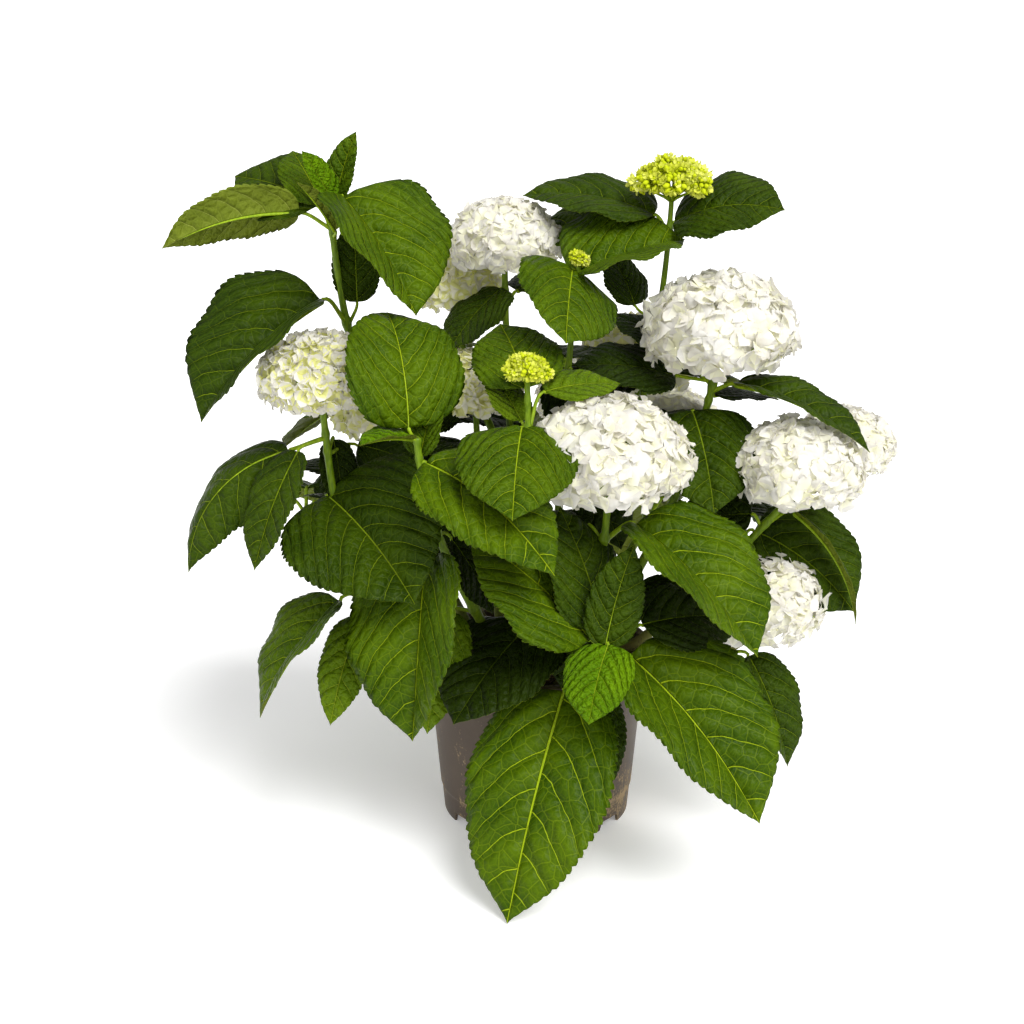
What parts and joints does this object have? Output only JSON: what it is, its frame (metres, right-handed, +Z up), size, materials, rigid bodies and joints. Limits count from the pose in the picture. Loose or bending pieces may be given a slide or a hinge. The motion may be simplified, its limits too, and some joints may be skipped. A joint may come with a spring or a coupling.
{
  "type": "potted hydrangea shrub",
  "caption": "Bushy mophead hydrangea with white flower heads, buds and broad serrated leaves, standing in a round taupe nursery pot.",
  "frame": {"origin": "middle of the pot's flat underside, on the ground", "axes": "+Z up along the pot's axis, -Y towards the plant's best side, +X to the right seen from there"},
  "size_m": [0.6046, 0.4965, 0.5766],
  "materials": {
    "pot_plastic": "matt taupe injection-moulded polypropylene, splashed with dry compost near the foot",
    "compost": "moist dark brown fibrous potting compost",
    "old_wood": "last year's pruned grey-brown wood",
    "green_stem": "smooth green shoots with fine dark flecks, browner towards the foot",
    "foliage": "semi-gloss quilted green leaves with raised yellow-green veins",
    "blossom": "thin matt white sepals, cream in the folds",
    "buds": "lime green closed buds"
  },
  "bodies": {
    "root": {"bloom_back": "blossom", "bloom_back_left": "blossom", "bloom_back_right": "blossom", "bloom_front_right": "blossom", "bloom_left": "blossom", "bloom_left_back": "blossom", "bloom_middle": "blossom", "bloom_right": "blossom", "bloom_right_back": "blossom", "bloom_right_inner": "blossom", "bloom_right_low": "blossom", "bloom_right_tall": "blossom", "bloom_top": "blossom", "bloom_top_back": "blossom", "buds_front": "buds", "buds_small": "buds", "buds_top_right": "buds", "compost": "compost", "leaves_back": "foliage", "leaves_back_left": "foliage", "leaves_back_right": "foliage", "leaves_front": "foliage", "leaves_front_left": "foliage", "leaves_front_low": "foliage", "leaves_front_right": "foliage", "leaves_left": "foliage", "leaves_right": "foliage", "leaves_right_back": "foliage", "leaves_right_low": "foliage", "leaves_right_tall": "foliage", "leaves_side_left": "foliage", "leaves_small": "foliage", "leaves_tall_left": "foliage", "leaves_top": "foliage", "leaves_top_back": "foliage", "leaves_top_right": "foliage", "pot": "pot_plastic", "stem_back": "green_stem", "stem_back_left": "green_stem", "stem_back_right": "green_stem", "stem_front": "green_stem", "stem_front_left": "green_stem", "stem_front_low": "green_stem", "stem_front_right": "green_stem", "stem_left": "green_stem", "stem_left_back": "green_stem", "stem_middle": "green_stem", "stem_right": "green_stem", "stem_right_back": "green_stem", "stem_right_inner": "green_stem", "stem_right_low": "green_stem", "stem_right_tall": "green_stem", "stem_side_left": "green_stem", "stem_small": "green_stem", "stem_tall_left": "green_stem", "stem_top": "green_stem", "stem_top_back": "green_stem", "stem_top_right": "green_stem", "stool": "old_wood"}
  },
  "joints": []
}
